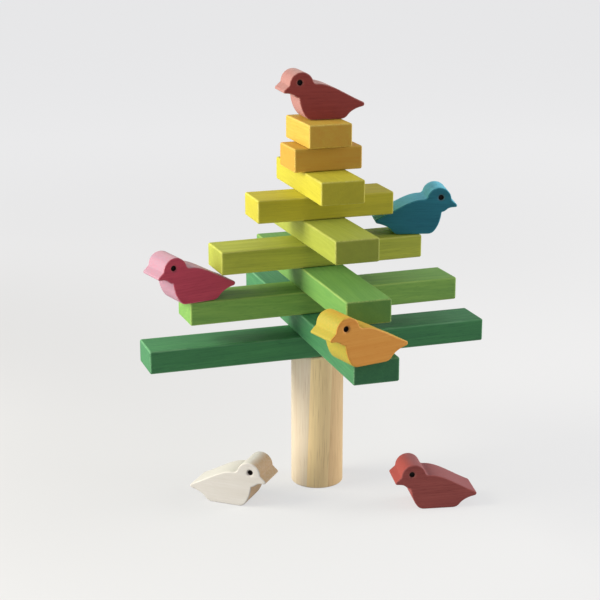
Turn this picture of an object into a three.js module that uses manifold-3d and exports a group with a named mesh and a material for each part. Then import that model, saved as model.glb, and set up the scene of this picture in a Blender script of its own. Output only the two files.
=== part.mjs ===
// Balancing tree game: a round trunk, ten branches laid crosswise in five tiers, and six sawn birds.
// Millimetres, +Z up, X to the right and Y away from the front. The origin is the centre of the trunk's foot.
import * as THREE from "three";
import { RoundedBoxGeometry } from "three/addons/geometries/RoundedBoxGeometry.js";
import { mergeVertices } from "three/addons/utils/BufferGeometryUtils.js";
import Module from "manifold-3d";

// Trunk: a plain turned post
const TRUNK_DIAMETER = 34;
const TRUNK_HEIGHT = 90;
const TRUNK_EDGE = 1.2;

// Branches: boards of one section, in tiers that shorten by equal steps from the lowest, which is the longest
const LOWEST_BRANCH = 225;
const BRANCH_WIDTH = 28.5;
const BRANCH_THICKNESS = 14.8;
const BRANCH_EDGE = 1.2;
const TIERS = 5;

// How each branch was laid by hand, bottom to top: its middle from the trunk's axis, and its turn off square
const LAID = [
  { x: -2, y: -1, turn: -0.5 },
  { x: -2.5, y: -2.5, turn: -1 },
  { x: 0.5, y: -2.5, turn: 1 },
  { x: -1.5, y: -6.5, turn: -0.5 },
  { x: -1.5, y: -1, turn: 1.5 },
  { x: 0, y: -2, turn: 0.5 },
  { x: 1, y: 0, turn: -0.5 },
  { x: 1.5, y: 2, turn: -0.5 },
  { x: 3, y: 3, turn: 0.5 },
  { x: 3, y: 7.5, turn: 0.5 },
];

// Birds: board of one thickness, sawn to one outline
const BIRD_THICKNESS = 22;
const BIRD_EDGE = 0.8;

// The outline seen from the side, as distances from a point over the foot's middle, and up from the foot.
// The foot's corners are rounded, starting this far from where its edges would meet. The chin lies ahead of the
// throat and drops below the beak's underside.
const FOOT_FRONT = 11.5;
const FOOT_BACK = 12.6;
const FOOT_ROUND = 2.8;
const BREAST_FORWARD = 16.8;
const BREAST_UP = 6.8;
const THROAT_FORWARD = 17.5;
const THROAT_UP = 14.2;
const CHIN_AHEAD = 3.5;
const CHIN_DROP = 1.3;
const BEAK_FORWARD = 27.5;
const BEAK_UP = 18.3;
const BEAK_TIP_RADIUS = 1.1;
const HEAD_FORWARD = 15.8;
const HEAD_UP = 22.3;
const HEAD_RADIUS = 7.9;
const FOREHEAD_ANGLE = -1;
const NAPE_ANGLE = 159;
const SHOULDER_FORWARD = 5.5;
const SHOULDER_UP = 22.7;
const SHOULDER_RUN = 9;
const RUMP_RUN = 13;
const TAIL_BACK = 25.3;
const TAIL_UP = 8.8;
const TAIL_TIP_RADIUS = 1.5;
const TAIL_SLOPE = 114;
const THIGH_BACK = 17.3;
const THIGH_UP = 6;

// The eye is a shallow drilled hole in each side, chamfered, a little ahead of and above the head's middle
const EYE_DIAMETER = 3.4;
const EYE_DEPTH = 3;
const EYE_CHAMFER = 0.7;
const EYE_AHEAD = 1.1;
const EYE_ABOVE = 1.4;

// Clearances: between a piece and what it rests on, and between a perched bird and the branches above
const SEAT_GAP = 0.2;
const PERCH_CLEARANCE = 0.2;

// Where the birds stand: on the top branch and the front branch as shifts from that branch's middle line,
// on the side branches as a shift across the branch, and on the table from the trunk's axis.
// A heading of 0 looks to the right and 180 to the left.
const RED_BIRD = { x: 3.5, y: 5, heading: 177 };
const YELLOW_BIRD = { x: -11, turn: 12 };
const CRIMSON_BIRD = { y: -5.5, turn: 12 };
const BLUE_BIRD = { y: 0, turn: -14 };
const WHITE_BIRD = { x: -62, y: -12, heading: -40 };
const RUSSET_BIRD = { x: 58.5, y: -60, heading: 169 };

// Colours: the tiers' stains from bottom to top, and the birds'
const BARE_WOOD = "#ecd5aa";
const STAINS = ["#3f8150", "#719e4b", "#aab043", "#c0b734", "#c8a543"];
const RED = "#8f3b35";
const YELLOW = "#eda349";
const CRIMSON = "#bf455b";
const BLUE = "#29788b";
const WHITE = "#cfcbc6";
const RUSSET = "#9b4e49";

// Facets: round the trunk, round an eye, and along each curve
const TRUNK_FACETS = 48;
const EYE_FACETS = 16;
const CURVE_STEPS = 6;

const wasm = await Module();
wasm.setup();
const radians = THREE.MathUtils.degToRad;

function wood(colour) {
  return new THREE.MeshStandardMaterial({ color: colour, roughness: 0.6, metalness: 0 });
}

function named(name, geometry, colour) {
  const mesh = new THREE.Mesh(geometry, wood(colour));
  mesh.name = name;
  return mesh;
}

// A closed geometry as a solid that can be cut
function solidOf(geometry) {
  const bare = geometry.clone();
  bare.deleteAttribute("normal");
  bare.deleteAttribute("uv");
  const merged = mergeVertices(bare, 1e-4);
  const vertProperties = new Float32Array(merged.attributes.position.array);
  const triVerts = new Uint32Array(merged.index.array);
  return new wasm.Manifold(new wasm.Mesh({ numProp: 3, vertProperties, triVerts }));
}

function geometryOf(solid) {
  const mesh = solid.getMesh();
  const geometry = new THREE.BufferGeometry();
  geometry.setAttribute("position", new THREE.BufferAttribute(mesh.vertProperties, 3));
  geometry.setIndex(new THREE.BufferAttribute(mesh.triVerts, 1));
  geometry.computeVertexNormals();
  return geometry;
}

// A profile of radius and height, turned about the upright axis
function turned(profile, facets) {
  return new THREE.LatheGeometry(profile, facets).rotateX(Math.PI / 2);
}

// The post, with both rims rounded over
function trunkGeometry() {
  const flat = TRUNK_DIAMETER / 2 - TRUNK_EDGE;
  const profile = new THREE.Path();
  profile.moveTo(0, 0);
  profile.lineTo(flat, 0);
  profile.absarc(flat, TRUNK_EDGE, TRUNK_EDGE, -Math.PI / 2, 0);
  profile.absarc(flat, TRUNK_HEIGHT - TRUNK_EDGE, TRUNK_EDGE, 0, Math.PI / 2);
  profile.lineTo(0, TRUNK_HEIGHT);
  return turned(profile.getPoints(2), TRUNK_FACETS);
}

// One branch of the stack, as its size and place. Even levels run side to side, odd ones front to back.
function branchAt(level) {
  const tier = Math.floor(level / 2);
  const lift = level * (BRANCH_THICKNESS + SEAT_GAP);
  const underside = TRUNK_HEIGHT + SEAT_GAP + lift;
  return {
    tier,
    sideways: level % 2 === 0,
    length: LOWEST_BRANCH * (1 - tier / TIERS),
    underside,
    top: underside + BRANCH_THICKNESS,
    ...LAID[level],
  };
}

function branchMesh(branch) {
  const way = branch.sideways ? "side_to_side" : "front_to_back";
  const name = `branch_${branch.tier + 1}_${way}`;
  const board = new RoundedBoxGeometry(branch.length, BRANCH_WIDTH, BRANCH_THICKNESS, 1, BRANCH_EDGE);
  const mesh = named(name, board, STAINS[branch.tier]);
  mesh.position.set(branch.x, branch.y, branch.underside + BRANCH_THICKNESS / 2);
  mesh.rotation.z = radians(branch.turn + (branch.sideways ? 0 : 90));
  return mesh;
}

// The bird's back, from its shoulder to the round tip of its tail
function backCurve() {
  const lean = radians(TAIL_SLOPE);
  const tail = new THREE.Vector2(
    TAIL_TIP_RADIUS * (1 + Math.cos(lean)) - TAIL_BACK,
    TAIL_UP + TAIL_TIP_RADIUS * Math.sin(lean),
  );
  const shoulder = new THREE.Vector2(SHOULDER_FORWARD, SHOULDER_UP);
  const level = new THREE.Vector2(SHOULDER_FORWARD - SHOULDER_RUN, SHOULDER_UP);
  const rump = new THREE.Vector2(
    tail.x + RUMP_RUN * Math.sin(lean),
    tail.y - RUMP_RUN * Math.cos(lean),
  );
  return new THREE.CubicBezierCurve(shoulder, level, rump, tail);
}

// The angle round a circle at which a straight line from a point outside it comes to touch it
function touchAngle(point, centre, radius) {
  const away = point.clone().sub(centre);
  return away.angle() - Math.acos(radius / away.length());
}

// The point at a distance from one point on the straight way to another
function towards(from, to, distance) {
  return to.clone().sub(from).setLength(distance).add(from);
}

function birdOutline() {
  const toe = new THREE.Vector2(FOOT_FRONT, 0);
  const breast = new THREE.Vector2(BREAST_FORWARD, BREAST_UP);
  const toeTop = towards(toe, breast, FOOT_ROUND);
  const heel = new THREE.Vector2(-FOOT_BACK, 0);
  const thigh = new THREE.Vector2(-THIGH_BACK, THIGH_UP);
  const heelTop = towards(heel, thigh, FOOT_ROUND);
  const beakBase = BEAK_UP - BEAK_TIP_RADIUS;
  const chinForward = THROAT_FORWARD + CHIN_AHEAD;
  const chinUp = beakBase - CHIN_DROP;
  const beakTip = new THREE.Vector2(BEAK_FORWARD - BEAK_TIP_RADIUS, BEAK_UP);
  const brow = radians(FOREHEAD_ANGLE);
  const forehead = new THREE.Vector2(
    HEAD_FORWARD + HEAD_RADIUS * Math.cos(brow),
    HEAD_UP + HEAD_RADIUS * Math.sin(brow),
  );
  const beakTop = touchAngle(forehead, beakTip, BEAK_TIP_RADIUS);
  const back = backCurve();
  const outline = new THREE.Shape();
  outline.moveTo(heel.x + FOOT_ROUND, 0);
  outline.lineTo(toe.x - FOOT_ROUND, 0);
  outline.quadraticCurveTo(toe.x, toe.y, toeTop.x, toeTop.y);
  outline.quadraticCurveTo(breast.x, breast.y, THROAT_FORWARD, THROAT_UP);
  outline.quadraticCurveTo(THROAT_FORWARD + CHIN_AHEAD / 2, THROAT_UP, chinForward, chinUp);
  outline.quadraticCurveTo(chinForward + CHIN_DROP, beakBase, beakTip.x, beakBase);
  outline.absarc(beakTip.x, beakTip.y, BEAK_TIP_RADIUS, -Math.PI / 2, beakTop);
  outline.absarc(HEAD_FORWARD, HEAD_UP, HEAD_RADIUS, brow, radians(NAPE_ANGLE));
  outline.quadraticCurveTo(HEAD_FORWARD - HEAD_RADIUS, SHOULDER_UP, SHOULDER_FORWARD, SHOULDER_UP);
  outline.bezierCurveTo(back.v1.x, back.v1.y, back.v2.x, back.v2.y, back.v3.x, back.v3.y);
  outline.absarc(
    TAIL_TIP_RADIUS - TAIL_BACK,
    TAIL_UP,
    TAIL_TIP_RADIUS,
    radians(TAIL_SLOPE),
    Math.PI * 1.5,
  );
  outline.quadraticCurveTo(thigh.x, thigh.y, heelTop.x, heelTop.y);
  outline.quadraticCurveTo(heel.x, heel.y, heel.x + FOOT_ROUND, 0);
  return outline;
}

// The drill for an eye, standing on its point of entry and reaching down into the wood
function eyeDrill() {
  const radius = EYE_DIAMETER / 2;
  const wide = radius + EYE_CHAMFER;
  const clear = BIRD_EDGE;
  const profile = [
    [0, -EYE_DEPTH],
    [radius, -EYE_DEPTH],
    [radius, -EYE_CHAMFER],
    [wide, 0],
    [wide, clear],
    [0, clear],
  ];
  return turned(profile.map(([r, z]) => new THREE.Vector2(r, z)), EYE_FACETS);
}

// The bird looks along +X and stands on z = 0 with its thickness across Y
function birdGeometry() {
  const body = new THREE.ExtrudeGeometry(birdOutline(), {
    depth: BIRD_THICKNESS - 2 * BIRD_EDGE,
    curveSegments: CURVE_STEPS,
    bevelThickness: BIRD_EDGE,
    bevelSize: BIRD_EDGE,
    bevelOffset: -BIRD_EDGE,
    bevelSegments: 2,
  });
  body.translate(0, 0, BIRD_EDGE - BIRD_THICKNESS / 2).rotateX(Math.PI / 2);
  let bird = solidOf(body);
  for (const side of [-1, 1]) {
    const drill = eyeDrill().rotateX((-side * Math.PI) / 2);
    drill.translate(HEAD_FORWARD + EYE_AHEAD, (side * BIRD_THICKNESS) / 2, HEAD_UP + EYE_ABOVE);
    bird = bird.subtract(solidOf(drill));
  }
  return geometryOf(bird);
}

// How far behind the middle of the foot the bird's back has come down to a height
function tailRunBelow(height) {
  const points = backCurve().getPoints(200);
  return -points.find((point) => point.y <= height).x;
}

// The radius that a branch's rounded corner sweeps when its end is this far from where it turns
function sweep(endDistance) {
  return Math.hypot(endDistance - BRANCH_EDGE, BRANCH_WIDTH / 2 - BRANCH_EDGE) + BRANCH_EDGE;
}

// The x of a bird that stands on a side branch, looking outwards, with its tail under the next side branch:
// it stays out of the circle that the corners of the branch above sweep as it turns on its own crossing.
function tuckedPlace(levelAbove, side, y, heading) {
  const above = branchAt(levelAbove);
  const centre = { x: branchAt(levelAbove - 1).x, y: above.y };
  const reach = sweep(above.length / 2 + Math.abs(above.x - centre.x));
  const tail = tailRunBelow(BRANCH_THICKNESS + SEAT_GAP);
  const halfFlat = BIRD_THICKNESS / 2 - BIRD_EDGE;
  const places = [-halfFlat, 0, halfFlat].map((across) => {
    const corner = new THREE.Vector2(-tail, across).rotateAround(new THREE.Vector2(), heading);
    const outwards = Math.sqrt((reach + PERCH_CLEARANCE) ** 2 - (y + corner.y - centre.y) ** 2);
    return side * (centre.x + side * outwards - corner.x);
  });
  return side * Math.max(...places);
}

// The y of the bird on the front branch, whose back stays in front of the end of the branch above it
function frontPlace(levelAbove, turn) {
  const above = branchAt(levelAbove);
  const depth = TAIL_BACK * Math.sin(turn) + (BIRD_THICKNESS / 2) * Math.cos(turn);
  return above.y - above.length / 2 - PERCH_CLEARANCE - depth;
}

const tree = new THREE.Group();
tree.add(named("trunk", trunkGeometry(), BARE_WOOD));
for (let level = 0; level < 2 * TIERS; level += 1) {
  tree.add(branchMesh(branchAt(level)));
}

const bird = birdGeometry();
function perch(name, colour, x, y, z, heading) {
  const mesh = named(name, bird, colour);
  mesh.position.set(x, y, z);
  mesh.rotation.z = heading;
  tree.add(mesh);
}

const top = branchAt(2 * TIERS - 1);
const redHeading = radians(RED_BIRD.heading);
perch("bird_red", RED, top.x + RED_BIRD.x, top.y + RED_BIRD.y, top.top + SEAT_GAP, redHeading);

const front = branchAt(1);
const yellowTurn = radians(YELLOW_BIRD.turn);
const yellowY = frontPlace(3, yellowTurn);
perch("bird_yellow", YELLOW, front.x + YELLOW_BIRD.x, yellowY, front.top + SEAT_GAP, Math.PI + yellowTurn);

const left = branchAt(2);
const crimsonY = left.y + CRIMSON_BIRD.y;
const crimsonHeading = Math.PI + radians(CRIMSON_BIRD.turn);
const crimsonX = tuckedPlace(4, -1, crimsonY, crimsonHeading);
perch("bird_crimson", CRIMSON, crimsonX, crimsonY, left.top + SEAT_GAP, crimsonHeading);

const right = branchAt(4);
const blueY = right.y + BLUE_BIRD.y;
const blueHeading = radians(BLUE_BIRD.turn);
const blueX = tuckedPlace(6, 1, blueY, blueHeading);
perch("bird_blue", BLUE, blueX, blueY, right.top + SEAT_GAP, blueHeading);

perch("bird_white", WHITE, WHITE_BIRD.x, WHITE_BIRD.y, 0, radians(WHITE_BIRD.heading));
perch("bird_russet", RUSSET, RUSSET_BIRD.x, RUSSET_BIRD.y, 0, radians(RUSSET_BIRD.heading));

export default tree;
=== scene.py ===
# %% [markdown]
# # A balancing tree game
# The real toy is a turned post, ten stained boards laid crosswise in five tiers, and six birds sawn
# from one thickness of board. Nothing is glued: every piece rests on the one below it. The packed
# model says where each piece sits, and this lesson dresses every piece with a smooth surface and a
# wood finish.

# %% Load the frame
import math

import bpy
import numpy as np
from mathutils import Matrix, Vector
from mathutils.geometry import delaunay_2d_cdt


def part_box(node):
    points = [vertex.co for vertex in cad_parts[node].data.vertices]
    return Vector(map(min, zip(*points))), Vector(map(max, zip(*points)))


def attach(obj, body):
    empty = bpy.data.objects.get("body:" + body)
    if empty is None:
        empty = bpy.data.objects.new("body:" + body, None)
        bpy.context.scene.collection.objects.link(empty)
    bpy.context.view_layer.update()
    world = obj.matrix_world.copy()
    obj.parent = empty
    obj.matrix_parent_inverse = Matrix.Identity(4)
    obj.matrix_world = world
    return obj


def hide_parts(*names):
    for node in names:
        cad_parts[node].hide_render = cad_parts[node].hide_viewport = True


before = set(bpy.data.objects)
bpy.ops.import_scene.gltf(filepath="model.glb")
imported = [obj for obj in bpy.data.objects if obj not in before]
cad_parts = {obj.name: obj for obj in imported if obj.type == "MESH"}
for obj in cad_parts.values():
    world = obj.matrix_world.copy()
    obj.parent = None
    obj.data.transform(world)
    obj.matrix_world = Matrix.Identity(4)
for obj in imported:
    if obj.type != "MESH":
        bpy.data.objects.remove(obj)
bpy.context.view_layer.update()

# %% [markdown]
# ## From arrays to a mesh
# Every piece is solid wood, and each could be modelled by hand from one of Blender's basic shapes.
# Here the shapes are worked out in millimetres as whole numpy arrays, in the piece's own frame, then
# turned and moved to their place in metres. That way every point knows its place in the wood, and the
# grain can follow the piece: an attribute named wood keeps that place, x along the grain, shifted and
# sloped a little so that every piece looks sawn from another part of the tree. More attributes mark
# the rounded edges, a board's end grain and how much dye it took, and a bird's sawn rim, the front of
# that rim and the eyes.

# %% Put arrays into a mesh
MM = 0.001
GRAIN_SEED = 17
GRAIN_SHIFT_MM = ([-400, 25, 25], [400, 70, 70])
GRAIN_SLOPE = 0.05
draw = np.random.default_rng(GRAIN_SEED)


def turned(points, angle):
    """The points turned about the upright axis: x cos - y sin, x sin + y cos, and z as it was."""
    cos, sin = math.cos(angle), math.sin(angle)
    x, y, z = points.T
    return np.stack([x * cos - y * sin, x * sin + y * cos, z], axis=1)


def put_mesh(name, points, grain, faces, marks, angle, place):
    """A mesh object of the points, turned and moved to a place. Its wood attribute is the place in the
    grain, plus a shift, plus a slope that grows along the grain."""
    mesh = bpy.data.meshes.new(name)
    mesh.from_pydata(((turned(points, angle) + place) * MM).tolist(), [], faces)
    mesh.shade_smooth()
    shift = draw.uniform(*GRAIN_SHIFT_MM) * draw.choice([-1, 1], 3)
    slope = draw.uniform(-GRAIN_SLOPE, GRAIN_SLOPE, 2)
    wood = grain + shift + np.outer(grain[:, 0], [0, *slope])
    mesh.attributes.new("wood", "FLOAT_VECTOR", "POINT").data.foreach_set("vector", wood.ravel())
    for mark, values in marks.items():
        mesh.attributes.new(mark, "FLOAT", "POINT").data.foreach_set("value", values)
    piece = bpy.data.objects.new(name, mesh)
    bpy.context.scene.collection.objects.link(piece)
    return piece


def ring_faces(rings, around):
    """Quads between rings of points that are stored one after another: each joins a point, the next one
    round the ring, and the same two on the next ring."""
    here = np.arange(rings - 1)[:, None] * around
    s = np.arange(around)
    after = np.roll(s, -1)
    quads = np.stack([here + s, here + after, here + after + around, here + s + around], axis=-1)
    return quads.reshape(-1, 4)


def middle_of(node):
    """The middle of a CAD node's box, in millimetres."""
    low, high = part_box(node)
    return np.array((low + high) / 2) / MM


print("middle of the trunk:", middle_of("trunk").round(1), "mm")

# %% [markdown]
# ## The boards
# A branch is a planed board whose edges were run over with sandpaper. A cube with a bevel modifier
# would do, but a board is also a section carried along a line: a rounded rectangle that shrinks by a
# quarter circle at each end. Written that way, every point is known, and so is whether it lies on an
# edge, on a flat face or on an end. The row of points just inside each edge keeps the flat faces
# shaded flat.

# %% Section of a board
BOARD_WIDTH = 28.5
BOARD_THICKNESS = 14.8
BOARD_EDGE = 1.2
EDGE_STEPS = 6
# How far the guard row lies inside an edge
GUARD = 0.3
SECTION_STEP = 3


def spread(length, step):
    """Shares from 0 to 1 along a flat, a guard row near each end and even steps between."""
    inside = np.linspace(0, 1, max(2, round(length / step)) + 1)[1:-1]
    return np.concatenate([[GUARD / length], inside, [1 - GUARD / length]])


def board_section(half_width, half_thickness, edge):
    """The section as corner circles and flats: a point of the inner rectangle, the way out from it, and
    how far it is round a corner, from 0 on a flat to 1 in the middle of a corner."""
    y, z = half_width - edge, half_thickness - edge
    corners = np.array([[y, z], [-y, z], [-y, -z], [y, -z]])
    quarter = np.linspace(0, math.pi / 2, EDGE_STEPS + 1)
    inner, out, mark = [], [], []
    for k in range(4):
        start, end = corners[k], corners[(k + 1) % 4]
        angle = quarter + k * math.pi / 2
        share = spread(np.linalg.norm(end - start), SECTION_STEP)
        flat = np.array([[math.cos(angle[-1]), math.sin(angle[-1])]])
        inner += [np.tile(start, (len(quarter), 1)), start + share[:, None] * (end - start)]
        out += [np.stack([np.cos(angle), np.sin(angle)], axis=1), np.tile(flat, (len(share), 1))]
        mark += [np.sin(2 * quarter), np.zeros(len(share))]
    return np.concatenate(inner), np.concatenate(out), np.concatenate(mark)


section_points, _, _ = board_section(BOARD_WIDTH / 2, BOARD_THICKNESS / 2, BOARD_EDGE)
print("board section:", len(section_points), "points")

# %% Shape of a board
LONGEST_BOARD = 225
BOARD_STEP = 4
# The last bend before the flat end, in degrees, and the share of the way out that the end keeps
LAST_BEND, LAST_REACH = 82, 0.1
END_FADE = 4


def board(length):
    """A section carried along x. Over the last edge radius the way out shrinks by the cosine of an
    angle while x goes on by its sine, so the ends are rounded by the same circle. One more ring guards
    each flat end. The end grain fades in as a power of that sine."""
    inner, out, mark = board_section(BOARD_WIDTH / 2, BOARD_THICKNESS / 2, BOARD_EDGE)
    straight = length - 2 * BOARD_EDGE
    run = np.concatenate([[0], spread(straight, BOARD_STEP), [1]]) - 0.5
    bend = np.radians(np.linspace(0, LAST_BEND, EDGE_STEPS)[1:])

    def both_ends(end, middle):
        """An end's values in reverse, one value for every ring between, and the end's values."""
        return np.concatenate([end[::-1], np.full(len(run), middle), end])

    end_x = np.concatenate([straight / 2 + BOARD_EDGE * np.sin(bend), [length / 2, length / 2]])
    x = np.concatenate([-end_x[::-1], run * straight, end_x])
    reach = both_ends(np.concatenate([np.cos(bend), [LAST_REACH, LAST_REACH]]), 1) * BOARD_EDGE
    drawn = both_ends(np.concatenate([np.zeros(len(bend) + 1), [GUARD]]), 0)
    worn = both_ends(np.concatenate([np.sin(2 * bend), [0, 0]]), 0)
    end_grain = both_ends(np.concatenate([np.sin(bend) ** END_FADE, [1, 1]]), 0)
    side = both_ends(np.zeros(len(end_x)), 1)

    kept = inner * (1 - drawn[:, None, None] / np.abs(inner).max(axis=0))
    section = kept + reach[:, None, None] * out
    along = np.broadcast_to(x[:, None, None], (*section.shape[:2], 1))
    points = np.concatenate([along, section], axis=2).reshape(-1, 3)
    edge = np.maximum(worn[:, None], np.outer(side, mark))
    around = len(inner)
    first = np.arange(around)
    last = first + (len(x) - 1) * around
    faces = ring_faces(len(x), around).tolist() + [first[::-1].tolist(), last.tolist()]
    return points, faces, {"edge": edge.ravel(), "end": np.repeat(end_grain, around)}


points, faces, marks = board(LONGEST_BOARD)
print("longest board:", len(points), "points,", np.ptp(points, axis=0).round(2), "mm")

# %% [markdown]
# ## The trunk
# The post was turned on a lathe and its two rims were broken with sandpaper. A cylinder with a bevel
# would do, but a turned piece is the easiest surface of all to write down: a profile of radius and
# height carried round the axis. Both rims are the same small quarter circle, and they are marked.

# %% Shape of the trunk
TRUNK_RADIUS = 17
TRUNK_HEIGHT = 90
TRUNK_EDGE = 1.2
TRUNK_AROUND = 128
TRUNK_ROWS = 30


def trunk():
    """Radius times cosine and sine of the angle, and height, from the middle of the foot over both
    rims."""
    bend = np.linspace(0, math.pi / 2, EDGE_STEPS + 1)
    flat = TRUNK_RADIUS - TRUNK_EDGE
    foot_r = flat + TRUNK_EDGE * np.sin(bend)
    foot_z = TRUNK_EDGE * (1 - np.cos(bend))
    wall = np.linspace(TRUNK_EDGE, TRUNK_HEIGHT - TRUNK_EDGE, TRUNK_ROWS)[1:-1]
    guard = [flat - GUARD]
    wall_r = np.full(len(wall), TRUNK_RADIUS)
    radius = np.concatenate([guard, foot_r, wall_r, foot_r[::-1], guard])
    height = np.concatenate([[0], foot_z, wall, TRUNK_HEIGHT - foot_z[::-1], [TRUNK_HEIGHT]])
    rim = np.sin(2 * bend)
    mark = np.concatenate([[0], rim, np.zeros(len(wall)), rim[::-1], [0]])
    angle = np.arange(TRUNK_AROUND) * 2 * math.pi / TRUNK_AROUND
    x = radius[:, None] * np.cos(angle)
    y = radius[:, None] * np.sin(angle)
    z = np.broadcast_to(height[:, None], x.shape)
    points = np.stack([x, y, z], axis=-1).reshape(-1, 3)
    first = np.arange(TRUNK_AROUND)
    last = first + (len(radius) - 1) * TRUNK_AROUND
    caps = [first[::-1].tolist(), last.tolist()]
    faces = ring_faces(len(radius), TRUNK_AROUND).tolist() + caps
    return points, faces, np.repeat(mark, TRUNK_AROUND)


points, faces, edge = trunk()
print("trunk:", len(points), "points,", np.ptp(points, axis=0).round(2), "mm")

# %% [markdown]
# ## The outline of a bird
# All six birds are cut to one pattern: a flat foot, a full breast, a short beak, a round head and a
# long back that runs down to the tail. It could be traced point by point, but a traced line is never
# quite smooth. So lines, arcs and Bezier curves join into one closed curve, as a pattern maker would
# draw it. The curve is then walked in equal steps and smoothed a little, as the sanding drum does to
# a sawn corner. Points are given as forward and up, from a place on the flat foot.

# %% Curves
CURVE_POINTS = 40
CURVE_SHARE = np.linspace(0, 1, CURVE_POINTS, endpoint=False)[:, None]


def bezier(*controls):
    """Repeated mixing of neighbouring control points by the share of the way, until one is left."""
    curve = [np.broadcast_to(np.array(c, float), (CURVE_POINTS, 2)) for c in controls]
    while len(curve) > 1:
        curve = [a + (b - a) * CURVE_SHARE for a, b in zip(curve, curve[1:])]
    return curve[0]


def round_about(centre, radius, degrees):
    """The centre plus the radius times the cosine and the sine of each angle."""
    angle = np.radians(degrees)
    return centre + radius * np.stack([np.cos(angle), np.sin(angle)], axis=-1)


def arc(centre, radius, start, end):
    """The points round a circle from one angle to another."""
    return round_about(centre, radius, (start + (end - start) * CURVE_SHARE)[:, 0])


def towards(start, end, distance):
    """The point at a distance from the start on the straight way to the end."""
    way = np.subtract(end, start)
    return start + way * distance / np.linalg.norm(way)


print("points on each curve:", CURVE_POINTS)

# %% Outline of a bird
HEEL, TOE, FOOT_ROUND = np.array([-12.6, 0]), np.array([11.5, 0]), 2.8
BREAST, THROAT = (16.8, 6.8), (17.5, 14.2)
CHIN_START, CHIN, CHIN_END = (19.25, 14.2), (21, 15.9), (22.3, 17.2)
BEAK, BEAK_RADIUS, BEAK_ANGLE = np.array([26.4, 18.3]), 1.1, 48.5
HEAD, HEAD_RADIUS = np.array([15.8, 22.3]), 7.9
FOREHEAD_ANGLE, NAPE_ANGLE = -1, 159
NECK, SHOULDER, BACK = (7.9, 22.7), (5.5, 22.7), (-3.5, 22.7)
RUMP_RUN = 13
TAIL, TAIL_RADIUS, TAIL_SLOPE = np.array([-23.8, 8.8]), 1.5, 114
THIGH = (-17.3, 6)
OUTLINE_POINTS = 360
SANDING = 0.4


def bird_outline():
    """The pieces one after another, resampled at equal steps of length, then blurred along the curve by
    a bell of SANDING millimetres: in the curve's Fourier series that is one factor for each
    frequency."""
    forehead = round_about(HEAD, HEAD_RADIUS, FOREHEAD_ANGLE)
    nape = round_about(HEAD, HEAD_RADIUS, NAPE_ANGLE)
    tail_top = round_about(TAIL, TAIL_RADIUS, TAIL_SLOPE)
    rump = round_about(tail_top, RUMP_RUN, TAIL_SLOPE - 90)
    toe_back, toe_top = TOE - [FOOT_ROUND, 0], towards(TOE, BREAST, FOOT_ROUND)
    heel_front, heel_top = HEEL + [FOOT_ROUND, 0], towards(HEEL, THIGH, FOOT_ROUND)
    curve = np.concatenate([
        bezier(heel_front, toe_back),
        bezier(toe_back, TOE, toe_top),
        bezier(toe_top, BREAST, THROAT),
        bezier(THROAT, CHIN_START, CHIN),
        bezier(CHIN, CHIN_END, BEAK - [0, BEAK_RADIUS]),
        arc(BEAK, BEAK_RADIUS, -90, BEAK_ANGLE),
        bezier(round_about(BEAK, BEAK_RADIUS, BEAK_ANGLE), forehead),
        arc(HEAD, HEAD_RADIUS, FOREHEAD_ANGLE, NAPE_ANGLE),
        bezier(nape, NECK, SHOULDER),
        bezier(SHOULDER, BACK, rump, tail_top),
        arc(TAIL, TAIL_RADIUS, TAIL_SLOPE, 270),
        bezier(TAIL - [0, TAIL_RADIUS], THIGH, heel_top),
        bezier(heel_top, HEEL, heel_front),
    ])
    closed = np.vstack([curve, curve[:1]])
    length = np.concatenate([[0], np.cumsum(np.linalg.norm(np.diff(closed, axis=0), axis=1))])
    walk = np.linspace(0, length[-1], OUTLINE_POINTS, endpoint=False)
    even = np.interp(walk, length, closed[:, 0]) + 1j * np.interp(walk, length, closed[:, 1])
    turns = np.fft.fftfreq(OUTLINE_POINTS, length[-1] / OUTLINE_POINTS)
    smooth = np.fft.ifft(np.fft.fft(even) * np.exp(-2 * (math.pi * SANDING * turns) ** 2))
    return np.stack([smooth.real, smooth.imag], axis=1)


def ways_out(outline):
    """The way along the curve, from one neighbour to the other, turned a quarter clockwise."""
    along = np.roll(outline, -1, axis=0) - np.roll(outline, 1, axis=0)
    along /= np.linalg.norm(along, axis=1, keepdims=True)
    return np.stack([along[:, 1], -along[:, 0]], axis=1)


outline = bird_outline()
print("bird outline:", np.ptp(outline, axis=0).round(2), "mm")

# %% [markdown]
# ## The flat faces of a bird
# Each flat face has a hole in it, the drilled eye. A Boolean would cut it, but leaves long thin faces
# that shade badly, and a plain grid can't go round it. So a constrained triangulation fills the space
# between the outline and the rim of the eye, with a guard row and loose points in between. The eye is
# a short countersink, a straight wall and a flat bottom, given here as rings from the face down.

# %% Flat faces round the eye
EYE_CENTRE = HEAD + [1.1, 1.4]
EYE_AROUND = 40
EYE_RADII = np.array([2.48, 2.4, 1.75, 1.68, 1.66, 1.5])
EYE_DEPTHS = np.array([0, 0.03, 0.66, 0.76, 2.9, 3.0])
# 0 on the face, 1 in the countersink and 2 in the hole
EYE_MARKS = np.array([0, 1, 1, 2, 2, 2])
FACE_STEP = 2.2
# How far loose points and guard points keep from the outline
GRID_CLEAR, GUARD_CLEAR = 1.2, 0.6 * GUARD
SAME_POINT = 1e-6


def inside(points, ring):
    """True where a line going right from the point crosses the ring's sides an odd number of times."""
    after = np.roll(ring, -1, axis=0)
    above = (ring[:, 1] > points[:, 1:]) != (after[:, 1] > points[:, 1:])
    rise = np.where(after[:, 1] == ring[:, 1], 1, after[:, 1] - ring[:, 1])
    at = ring[:, 0] + (points[:, 1:] - ring[:, 1]) * (after[:, 0] - ring[:, 0]) / rise
    return (above & (points[:, :1] < at)).sum(axis=1) % 2 == 1


def ring_sides(start, count):
    """Pairs of neighbouring numbers round a ring of points."""
    here = start + np.arange(count)
    return np.stack([here, np.roll(here, -1)], axis=1).tolist()


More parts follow.
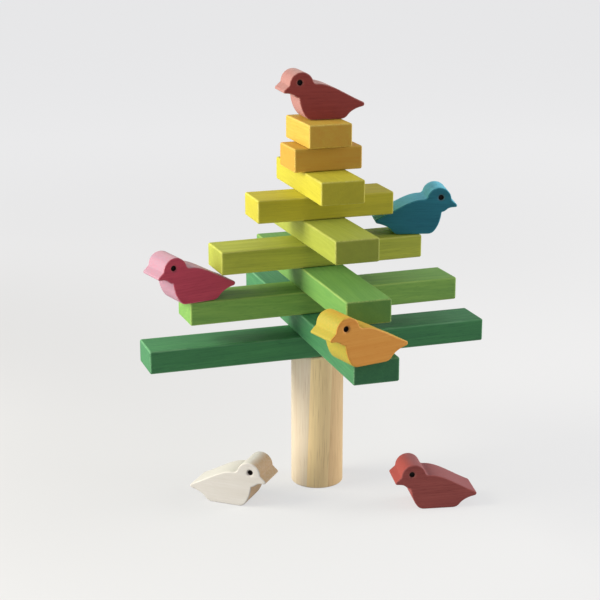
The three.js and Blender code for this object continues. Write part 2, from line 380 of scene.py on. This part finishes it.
def face_triangles(ring, guard, rim):
    """Triangles between the ring and the rim, over both rings' points, the guard row and a staggered
    grid. A triangle with all its corners on the rim would close the eye, so it is left out."""
    low, high = ring.min(axis=0), ring.max(axis=0)
    columns, rows = (np.arange(low[i], high[i], FACE_STEP) for i in (0, 1))
    across, up = np.meshgrid(columns, rows)
    across = across + FACE_STEP / 2 * (np.arange(len(across)) % 2)[:, None]
    loose = np.concatenate([guard, np.stack([across.ravel(), up.ravel()], axis=1)])
    gap = np.linalg.norm(loose[:, None] - ring, axis=2).min(axis=1)
    from_eye = np.linalg.norm(loose - EYE_CENTRE, axis=1)
    grid = np.arange(len(loose)) >= len(guard)
    clear = (gap > np.where(grid, GRID_CLEAR, GUARD_CLEAR)) & (from_eye > EYE_RADII[0] + GUARD)
    loose = loose[inside(loose, ring) & clear]
    flat = np.concatenate([ring, rim, loose]).tolist()
    sides = ring_sides(0, len(ring)) + ring_sides(len(ring), len(rim))
    _, _, faces, sources, _, _ = delaunay_2d_cdt(flat, sides, [], 1, SAME_POINT)
    triangles = np.array(sources)[:, 0][np.array(faces)]
    on_rim = (triangles >= len(ring)) & (triangles < len(ring) + len(rim))
    return loose, triangles[~on_rim.all(axis=1)]


print("eye:", 2 * EYE_RADII[3], "mm across and", EYE_DEPTHS[-1], "mm deep")

# %% [markdown]
# ## The body of a bird
# A bird is sawn out of a thick board and its edges are sanded. Solidify and Bevel could do that to a
# flat outline, but they don't say which points lie where. So the outline is carried across the
# thickness and drawn in by a quarter circle at both faces, and the two faces and the drilled eyes
# close it into one skin. Marks tell the sawn rim, the part of it that looks ahead, the sanded edges
# and the eyes apart.

# %% Shape of a bird
BIRD_THICKNESS = 22
BIRD_EDGE = 0.8
BIRD_ROWS = 9
FRONT_FADE = 1.6


def bird():
    """Rings of the outline from one face to the other: at each face the outline is drawn in by the
    edge radius times one minus the cosine of an angle, while the ring moves out by its sine. Both
    faces share one set of triangles, turned over on the far side."""
    out = ways_out(outline)
    bend = np.linspace(0, math.pi / 2, EDGE_STEPS + 1)
    half = BIRD_THICKNESS / 2 - BIRD_EDGE
    wall = np.linspace(half, -half, BIRD_ROWS)[1:-1]
    flat = np.zeros(len(wall))
    side = half + BIRD_EDGE * np.sin(bend)
    y = np.concatenate([side[::-1], wall, -side])
    drawn = BIRD_EDGE * np.concatenate([1 - np.cos(bend[::-1]), flat, 1 - np.cos(bend)])
    mark = np.concatenate([np.sin(2 * bend[::-1]), flat, np.sin(2 * bend)])
    rings = outline - drawn[:, None, None] * out
    deep = np.broadcast_to(y[:, None], rings.shape[:2])
    body = np.stack([rings[..., 0], deep, rings[..., 1]], axis=-1).reshape(-1, 3)

    angle = np.arange(EYE_AROUND) * 2 * math.pi / EYE_AROUND
    round_eye = np.stack([np.cos(angle), np.sin(angle)], axis=1)
    eye_rings = (EYE_CENTRE + EYE_RADII[:, None, None] * round_eye).reshape(-1, 2)
    loose, triangles = face_triangles(rings[-1], rings[-1] - GUARD * out, eye_rings[:EYE_AROUND])
    extra = np.concatenate([eye_rings, loose])
    extra_deep = np.concatenate([np.repeat(EYE_DEPTHS, EYE_AROUND), np.zeros(len(loose))])
    extra_eye = np.concatenate([np.repeat(EYE_MARKS, EYE_AROUND), np.zeros(len(loose))])
    near = np.stack([extra[:, 0], extra_deep - BIRD_THICKNESS / 2, extra[:, 1]], axis=1)
    points = np.concatenate([body, near, near * [1, -1, 1]])

    count = len(outline)
    near_start, far_start = len(body), len(body) + len(near)
    last_ring = len(body) - count
    drilled = ring_faces(len(EYE_RADII), EYE_AROUND)
    bottom = np.arange(EYE_AROUND) + (len(EYE_RADII) - 1) * EYE_AROUND

    def numbered(start, ring_start):
        """Numbers in the whole bird for the triangulation's points: the outline, the rim of the eye,
        then the loose ones."""
        eye_rim = start + np.arange(EYE_AROUND)
        rest = start + len(eye_rings) + np.arange(len(loose))
        return np.concatenate([ring_start + np.arange(count), eye_rim, rest])[triangles]

    faces = ring_faces(len(y), count).tolist()
    faces += numbered(near_start, last_ring).tolist() + (near_start + drilled).tolist()
    faces += numbered(far_start, 0)[:, ::-1].tolist() + (far_start + drilled)[:, ::-1].tolist()
    faces += [(near_start + bottom).tolist(), (far_start + bottom)[::-1].tolist()]
    rim = np.repeat(np.abs(y) < half + GUARD, count)
    # The rim that looks ahead, where the finish paints light and shade
    ahead = np.tile(np.clip(FRONT_FADE * out[:, 0], 0, 1), len(y))
    no_extra = np.zeros(2 * len(near))
    marks = {
        "edge": np.concatenate([np.repeat(mark, count), no_extra]),
        "rim": np.concatenate([rim, no_extra]),
        "front": np.concatenate([rim * ahead, no_extra]),
        "eye": np.concatenate([np.zeros(len(body)), extra_eye, extra_eye]),
    }
    return points, faces, marks


bird_points, bird_faces, bird_marks = bird()
print("bird:", len(bird_points), "points,", np.ptp(bird_points, axis=0).round(2), "mm")

# %% [markdown]
# ## One way to add a node
# A material is a small machine of nodes. One function adds a node, sets it up and links what it is
# given, so that each line below reads as one step of the finish. Colours are written as they would be
# picked on a screen and turned to the linear values that light is worked out in.

# %% Node and colour helpers


def add_node(tree, kind, inputs=None, **settings):
    """Adds a node, sets its settings, and fills each input with a value or a link."""
    node = tree.nodes.new("ShaderNode" + kind)
    for name, value in settings.items():
        setattr(node, name, value)
    for name, value in (inputs or {}).items():
        if isinstance(value, bpy.types.NodeSocket):
            tree.links.new(value, node.inputs[name])
        else:
            node.inputs[name].default_value = value
    return node


def linear(colour):
    """sRGB hex to linear: a straight line near black, and a power of 2.4 above it."""
    srgb = np.array([int(colour[i:i + 2], 16) for i in (1, 3, 5)]) / 255
    value = np.where(srgb <= 0.04045, srgb / 12.92, ((srgb + 0.055) / 1.055) ** 2.4)
    return (*value.tolist(), 1.0)


def new_material(name):
    """A material without nodes, and its node tree."""
    material = bpy.data.materials.new(name)
    material.use_nodes = True
    material.node_tree.nodes.clear()
    return material, material.node_tree


print("middle grey of a screen in linear light:", round(linear("#808080")[0], 3))

# %% [markdown]
# ## The figure of rubberwood
# All pieces are rubberwood, an even, pale, open-pored timber, planed, sanded and left satin: the eye
# gets a broad, soft sheen and no mirror. A picture of wood could be wrapped round each piece, but
# noise that fills the whole solid runs through it as grain does, so that sides and ends agree. The
# figure is broad soft bands, fine darker fibres along the grain, faint growth rings and short open
# pores. The pores of the real wood are about 0.2 mm wide, too fine to show, so they are drawn 0.5 mm
# wide.

# %% Figure of the wood
BAND_MM = (90, 9, 9)
FIBRE_MM = (34, 1.0, 1.0)
PORE_MM = (6, 0.5, 0.5)
RING_MM = 5.5
# How far apart the wave texture's rings are at scale 1
WAVE_PERIOD = 0.314


def figure(tree, vector, pore=PORE_MM):
    """Bands, fibres, pores and growth rings as numbers from 0 to 1. Each noise is stretched along the
    grain by dividing the place in millimetres by the length, width and depth of one mark."""
    marks = []
    for size, detail in ((BAND_MM, 2), (FIBRE_MM, 3), (pore, 1)):
        shrink = {0: vector, 1: [1 / s for s in size]}
        scaled = add_node(tree, "VectorMath", shrink, operation="MULTIPLY").outputs[0]
        noise = add_node(tree, "TexNoise", {"Vector": scaled, "Scale": 1, "Detail": detail})
        marks.append(noise.outputs["Fac"])
    bands, fibres, pores = marks
    wave = {"Vector": vector, "Scale": WAVE_PERIOD / RING_MM, "Distortion": 2.2}
    wave |= {"Detail": 2, "Detail Scale": 0.6}
    rings = add_node(tree, "TexWave", wave, wave_type="RINGS", rings_direction="X").outputs["Fac"]
    soft = {"From Min": 0.3, "From Max": 0.7}
    sharp = {"From Min": 0.6, "From Max": 0.72}
    soft_bands = add_node(tree, "MapRange", {"Value": bands, **soft}).outputs[0]
    soft_fibres = add_node(tree, "MapRange", {"Value": fibres, **soft}).outputs[0]
    open_pores = add_node(tree, "MapRange", {"Value": pores, **sharp}).outputs[0]
    return soft_bands, soft_fibres, open_pores, rings


print("pores:", PORE_MM, "mm, growth rings every", RING_MM, "mm")

# %% Layers and satin surface
PORE_DEPTH_MM = 0.06


def layered(tree, colour, layers):
    """Lays shades over a colour, one after another: each is where it shows, how much of it, and the
    shade."""
    for where, share, shade in layers:
        amount = add_node(tree, "Math", {0: where, 1: share}, operation="MULTIPLY").outputs[0]
        colours = {0: amount, 6: colour, 7: linear(shade)}
        colour = add_node(tree, "Mix", colours, data_type="RGBA").outputs[2]
    return colour


def satin(tree, colour, fibres, pores):
    """The surface: a little duller on the fibres, with the pores as small pits."""
    dull = add_node(tree, "MapRange", {"Value": fibres, "To Min": 0.55, "To Max": 0.68}).outputs[0]
    pits = {0: pores, 1: -1, 2: fibres}
    relief = add_node(tree, "Math", pits, operation="MULTIPLY_ADD").outputs[0]
    depth = {"Strength": 0.25, "Distance": PORE_DEPTH_MM * MM, "Height": relief}
    bump = add_node(tree, "Bump", depth).outputs[0]
    wood = {"Base Color": colour, "Roughness": dull, "Normal": bump}
    wood |= {"IOR": 1.5, "Specular IOR Level": 0.25}
    shader = add_node(tree, "BsdfPrincipled", wood)
    add_node(tree, "OutputMaterial", {"Surface": shader.outputs[0]})


print("pores are", PORE_DEPTH_MM, "mm deep")

# %% [markdown]
# ## Stained rubberwood
# The boards and birds are dyed with a thin water stain that lets the figure show. It sits deeper in
# bands, fibres, pores and end grain, and one board of a tier took more of it than the other. The rounded
# edges are paler, partly from sanding and partly as a painted highlight along them. A bird's sawn rim is
# another shade, with streaks of the stain: its pale tone is painted light, the paleness of a rim in the
# lamp's strong light. The part of the rim that looks ahead has another tone again, a painted light and
# shade set by how the lamp falls there. One colour ramp could give the tones, but shades that are laid
# over each other, as coats of dye are, let each mark be set by itself.

# %% Stained rubberwood
EYE_RING_TONE = "#7d6a60"
EYE_HOLE_TONE = "#1c130f"


def stained_rubberwood(name, stain, deep, rubbed_and_lit, front=None):
    """Stain is the dye on plain wood and deep is where more of it sits. The next shade is for an edge,
    paler from sandpaper and with a painted highlight, and for a bird's rim, whose pale tone is painted
    light. Front, on a bird, is the rim where it looks ahead, from the forehead to the breast, with a
    painted light and shade of its own."""
    material, tree = new_material(name)
    wood = add_node(tree, "Attribute", attribute_name="wood").outputs["Vector"]
    edge, end, dye, rim, ahead, eye = (
        add_node(tree, "Attribute", attribute_name=mark).outputs["Fac"]
        for mark in ("edge", "end", "dye", "rim", "front", "eye")
    )
    bands, fibres, pores, rings = figure(tree, wood)

    sanded_and_lit_edge = add_node(tree, "Math", {0: edge, 1: fibres}, operation="MULTIPLY").outputs[0]
    streaks = add_node(tree, "Math", {0: rim, 1: fibres}, operation="MULTIPLY").outputs[0]
    eye_ring = add_node(tree, "Math", {0: eye, 1: 0.5}, operation="GREATER_THAN").outputs[0]
    hole = add_node(tree, "Math", {0: eye, 1: 1.5}, operation="GREATER_THAN").outputs[0]
    colour = layered(tree, linear(stain), [
        (dye, 1, deep),
        (bands, 0.3, deep),
        (fibres, 0.35, deep),
        (rings, 0.12, deep),
        (pores, 0.4, deep),
        (end, 0.3, deep),
        # Painted light: a bird's whole rim gets the pale tone of a rim in the lamp's light
        (rim, 0.88, rubbed_and_lit),
        # Painted light and shade: the rim that looks ahead gets its own tone, set by how the lamp falls
        # there
        (ahead, 0.88, front or rubbed_and_lit),
        (streaks, 0.25, stain),
        # Paler edges, partly from sandpaper and partly a painted highlight
        (sanded_and_lit_edge, 0.45, rubbed_and_lit),
        (eye_ring, 0.2, EYE_RING_TONE),
        (hole, 1, EYE_HOLE_TONE),
    ])
    satin(tree, colour, fibres, pores)
    return material


print("eye tones:", EYE_RING_TONE, EYE_HOLE_TONE)

# %% [markdown]
# ## Bare rubberwood
# The trunk is left its own colour. The post was turned from a blank glued up from strips, so tone and
# figure change at straight glue lines that run up it: a cream strip on the left, then straw, then a
# warmer tan on the right. The strips lie side by side across the view, and the pale cream on the lit
# left and the darker tan on the right are partly painted light and shade from the lamp on the left.
# Three meshes could be joined, but the turned post is one surface, so the material finds the strip by
# where a point lies across the post, and each strip shifts the figure sideways. Along the post the saw
# laid the pores open lengthwise, so they are long.

# %% Bare rubberwood
GLUE_LINES_MM = (-6.9, 7)
GLUE_LEAN = 0.03
STRIP_ANGLE = math.radians(-19)
STRIP_SHIFT_MM = (37, 19, 23)
# Cream on the left and tan on the right are partly painted light and shade from the lamp on the left
STRIP_TONES = ("#e7dbc5", "#ffe8b2", "#f0d2a0")
LONG_PORE_MM = (18, 0.55, 0.55)
BAND_TONE, FIBRE_TONE, PORE_TONE, RIM_TONE = "#cda56c", "#c0955e", "#9c7748", "#f3e6cc"


def bare_rubberwood():
    """A strip's number is how many glue lines a point has passed: its place times the way across the
    post, summed, against each line's place."""
    material, tree = new_material("bare_rubberwood")
    wood = add_node(tree, "Attribute", attribute_name="wood").outputs["Vector"]
    edge = add_node(tree, "Attribute", attribute_name="edge").outputs["Fac"]
    place = add_node(tree, "TexCoord").outputs["Object"]
    way = (math.cos(STRIP_ANGLE) / MM, math.sin(STRIP_ANGLE) / MM, -GLUE_LEAN / MM)
    product = add_node(tree, "VectorMath", {0: place, 1: way}, operation="DOT_PRODUCT")
    across = product.outputs["Value"]
    steps = [
        add_node(tree, "Math", {0: across, 1: line}, operation="GREATER_THAN").outputs[0]
        for line in GLUE_LINES_MM
    ]
    strip = add_node(tree, "Math", {0: steps[0], 1: steps[1]}, operation="ADD").outputs[0]
    scaled = {0: STRIP_SHIFT_MM, "Scale": strip}
    aside = add_node(tree, "VectorMath", scaled, operation="SCALE").outputs[0]
    shifted = add_node(tree, "VectorMath", {0: wood, 1: aside}, operation="ADD").outputs[0]
    bands, fibres, pores, rings = figure(tree, shifted, LONG_PORE_MM)

    colour = layered(tree, linear(STRIP_TONES[0]), [
        (steps[0], 1, STRIP_TONES[1]),
        (steps[1], 1, STRIP_TONES[2]),
        (bands, 0.1, BAND_TONE),
        (fibres, 0.17, FIBRE_TONE),
        (rings, 0.08, FIBRE_TONE),
        (pores, 0.32, PORE_TONE),
        (edge, 0.25, RIM_TONE),
    ])
    satin(tree, colour, fibres, pores)
    return material


print("glue lines at", GLUE_LINES_MM, "mm across the post")

# %% [markdown]
# ## The twelve finishes
# Each stain is given by its shade on plain wood, its deeper shade where the wood drinks more, and the
# shade of an edge, which also paints a highlight there and, on a bird, paints light on the whole rim. A
# bird's stain has one more, for the front of its rim, which paints light and shade. The bare post makes
# the twelfth finish.

# %% Finishes
STAINS = {
    "dark_green_stain": ("#4a8f56", "#2a5a42", "#94c89a"),
    "green_stain": ("#8cb757", "#4f8342", "#c6d67a"),
    "yellow_green_stain": ("#c0c64a", "#859039", "#e0de80"),
    "lime_stain": ("#cec538", "#a0982d", "#ece688"),
    "amber_stain": ("#c9b54a", "#c2852c", "#efe080"),
    # On a bird the third shade, of the rim, is painted light, and the fourth, of the rim that looks
    # ahead, is painted light and shade: the white bird's tan is its rim in shade
    "red_stain": ("#9c433c", "#732724", "#dab2a8", "#a47671"),
    "yellow_stain": ("#f4af52", "#e08a33", "#c4a836", "#979930"),
    "crimson_stain": ("#cd4d63", "#a13349", "#c8aeb9", "#997d8e"),
    "blue_stain": ("#2f8599", "#1a596c", "#80ecff", "#68bdd2"),
    "white_stain": ("#d0cdc9", "#c2bdb5", "#c9c7c0", "#ae8956"),
    "russet_stain": ("#a95751", "#7c3735", "#96585a", "#ae4b43"),
}
finishes = {
    name: stained_rubberwood(name + "ed_rubberwood", *shades) for name, shades in STAINS.items()
}
finishes["bare_rubberwood"] = bare_rubberwood()
print("finishes:", sorted(finishes))

# %% [markdown]
# ## Laying the pieces
# The tree is stacked by hand, so no board or bird lies quite square. Every place could be typed in
# again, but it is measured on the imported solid, so that the two can't drift apart. A board goes to the
# middle of its solid. What that doesn't say is the small turn, in degrees, that each board got, and
# how much more of the dye it took, from 0 to 1: both are listed from the lowest board up. For a bird,
# the middle of its turned shape goes to the middle of its solid.

# %% Lay the trunk


def finish_piece(piece, node, slot):
    """The finish, the node that the piece stands for, and the body of the same name that it moves
    with."""
    piece.data.materials.append(finishes[slot])
    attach(piece, node)
    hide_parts(node)


points, faces, edge = trunk()
grain_up = points[:, [2, 0, 1]]
post = put_mesh("trunk_post", points, grain_up, faces, {"edge": edge}, 0, np.zeros(3))
finish_piece(post, "trunk", "bare_rubberwood")
print("laid:", post.name)

# %% Lay the boards
BOARD_TURNS = (-0.5, -1, 1, -0.5, 1.5, 0.5, -0.5, -0.5, 0.5, 0.5)
BOARD_DYES = (0.05, 0.15, 0, 0.53, 0, 0.55, 0.05, 0.15, 0.4, 0.1)
TIER_STAINS = ("dark_green_stain", "green_stain", "yellow_green_stain", "lime_stain", "amber_stain")

for level, (turn, dye) in enumerate(zip(BOARD_TURNS, BOARD_DYES)):
    tier = level // 2
    node = f"branch_{tier + 1}_" + ("front_to_back" if level % 2 else "side_to_side")
    points, faces, marks = board(LONGEST_BOARD * (1 - tier / len(TIER_STAINS)))
    marks["dye"] = np.full(len(points), dye)
    angle = math.radians(turn + 90 * (level % 2))
    piece = put_mesh(node + "_board", points, points, faces, marks, angle, middle_of(node))
    finish_piece(piece, node, TIER_STAINS[tier])
print("boards laid:", len(BOARD_TURNS))

# %% Lay the birds
BIRD_HEADINGS = {
    "red": 177, "yellow": 192, "crimson": 192, "blue": -14, "white": -40, "russet": 169,
}

for colour, heading in BIRD_HEADINGS.items():
    node = "bird_" + colour
    angle = math.radians(heading)
    shape = turned(bird_points, angle)
    place = middle_of(node) - (shape.min(axis=0) + shape.max(axis=0)) / 2
    piece = put_mesh(node + "_sawn", bird_points, bird_points, bird_faces, bird_marks, angle, place)
    finish_piece(piece, node, colour + "_stain")

# %% [markdown]
# ## Floor and backdrop
# The toy stands on a pale sweep. The floor returns less light to the wood than it shows to the camera,
# which keeps the fronts as deep as they should be, and it glows where it is looked at, so the toy's
# shadow on it stays faint. Two slow changes of tone make the backdrop look even: the floor is a
# little darker in the lamp's pool of light and a little lighter far away. The world above it gives a
# cool, soft fill, and shows a pale grey to the camera.

# %% Floor
PALE = 0.86
FLOOR_BOUNCE = 0.46
FLOOR_GLOW = 0.74
FLOOR_HALF = 9
# A centre, the distances in metres where the tone starts and stops changing, and the tone at each
POOL = ((-0.36, 0.2, 0), 0.2, 0.6, 0.86, 1)
FAR = ((0, 0, 0), 0.5, 1.4, 1, 1.12)


def grey(value):
    """A colour with three equal parts."""
    return (value, value, value, 1.0)


def seen_directly(tree):
    """1 for rays from the camera and for rays that mirror or pass through something, else 0."""
    rays = add_node(tree, "LightPath")
    seen = rays.outputs["Is Camera Ray"]
    for kind in ("Is Glossy Ray", "Is Transmission Ray"):
        either = {0: seen, 1: rays.outputs[kind]}
        seen = add_node(tree, "Math", either, operation="MAXIMUM").outputs[0]
    return seen


material, tree = new_material("pale_sweep")
seen = seen_directly(tree)
spot = add_node(tree, "TexCoord").outputs["Object"]
pale = grey(PALE)[:3]
for centre, near, far, near_tone, far_tone in (POOL, FAR):
    way = {0: spot, 1: centre}
    reach = add_node(tree, "VectorMath", way, operation="DISTANCE").outputs["Value"]
    ends = {"Value": reach, "From Min": near, "From Max": far}
    ends |= {"To Min": near_tone, "To Max": far_tone}
    tone = add_node(tree, "MapRange", ends, interpolation_type="SMOOTHSTEP").outputs[0]
    pale = add_node(tree, "VectorMath", {0: pale, "Scale": tone}, operation="SCALE").outputs[0]
shades = {0: seen, 6: grey(FLOOR_BOUNCE), 7: pale}
shade = add_node(tree, "Mix", shades, data_type="RGBA").outputs[2]
lit = add_node(tree, "BsdfDiffuse", {"Color": shade}).outputs[0]
glow = add_node(tree, "Emission", {"Color": pale}).outputs[0]
glowing = add_node(tree, "Math", {0: seen, 1: FLOOR_GLOW}, operation="MULTIPLY").outputs[0]
surface = add_node(tree, "MixShader", {0: glowing, 1: lit, 2: glow}).outputs[0]
add_node(tree, "OutputMaterial", {"Surface": surface})

corners = FLOOR_HALF * np.array([[-1, -1, 0], [1, -1, 0], [1, 1, 0], [-1, 1, 0]])
floor_mesh = bpy.data.meshes.new("floor")
floor_mesh.from_pydata(corners.tolist(), [], [(0, 1, 2, 3)])
floor_mesh.materials.append(material)
floor = bpy.data.objects.new("floor", floor_mesh)
bpy.context.scene.collection.objects.link(floor)
print("floor shows", PALE, "and returns", FLOOR_BOUNCE)

# %% World
HORIZON = 0.8
FILL = (0.335, 0.335, 0.375, 1.0)

world = bpy.data.worlds.new("studio")
world.use_nodes = True
tree = world.node_tree
tree.nodes.clear()
shades = {0: seen_directly(tree), 6: FILL, 7: grey(HORIZON)}
shade = add_node(tree, "Mix", shades, data_type="RGBA").outputs[2]
background = add_node(tree, "Background", {"Color": shade}).outputs[0]
add_node(tree, "OutputWorld", {"Surface": background})
bpy.context.scene.world = world
print("world shows", HORIZON, "and fills with", FILL[:3])

# %% [markdown]
# ## Lights and camera
# One large soft lamp stands near the toy on its left and a little behind it, so left faces are
# palest, tops are in between and fronts are darkest, and left ends get more light than right ones. A
# white card high on the right gives some of it back, and a small card low on the left reaches the
# trunk under the boards. The camera's place and focal length were fitted to the boards' corners in
# the photograph, which is a square of 600 pixels.

# %% Lights
# Place in metres, size in metres, power in watts, and colour
LIGHTS = {
    "large_soft_lamp": ((-0.7, 0.12, 0.46), 0.5, 8.4, (1.0, 0.955, 0.82)),
    "white_card": ((1.1, -0.2, 0.5), 0.8, 10.2, (1.0, 0.98, 0.95)),
    "low_card": ((-0.5, -0.08, 0.1), 0.3, 0.9, (1.0, 0.97, 0.91)),
}
LIGHT_AIM = Vector((0, 0, 0.15))

for name, (place, size, power, colour) in LIGHTS.items():
    light = bpy.data.lights.new(name, "AREA")
    light.shape, light.size = "DISK", size
    light.energy, light.color = power, colour
    light_object = bpy.data.objects.new(name, light)
    light_object.location = place
    light_object.rotation_mode = "QUATERNION"
    light_object.rotation_quaternion = (Vector(place) - LIGHT_AIM).to_track_quat("Z", "Y")
    bpy.context.scene.collection.objects.link(light_object)
print("lights:", list(LIGHTS))

# %% Camera
AZIMUTH, ELEVATION = math.radians(-18.902), math.radians(16.074)
CAMERA_DISTANCE = 0.975663
CAMERA_TARGET = Vector((-0.011896, 0, 0.124961))
FOCAL_PX = 1520.647
FRAME_PX = 600
SENSOR_MM = 36

camera = bpy.data.cameras.new("camera")
camera.sensor_width = SENSOR_MM
camera.lens = SENSOR_MM * FOCAL_PX / FRAME_PX
back = Vector((
    math.sin(AZIMUTH) * math.cos(ELEVATION),
    -math.cos(AZIMUTH) * math.cos(ELEVATION),
    math.sin(ELEVATION),
))
camera_object = bpy.data.objects.new("camera", camera)
camera_object.location = CAMERA_TARGET + back * CAMERA_DISTANCE
camera_object.rotation_mode = "QUATERNION"
camera_object.rotation_quaternion = back.to_track_quat("Z", "Y")
bpy.context.scene.collection.objects.link(camera_object)
bpy.context.scene.camera = camera_object
bpy.context.scene.view_settings.view_transform = "Standard"
print("camera at", [round(v, 4) for v in camera_object.location])
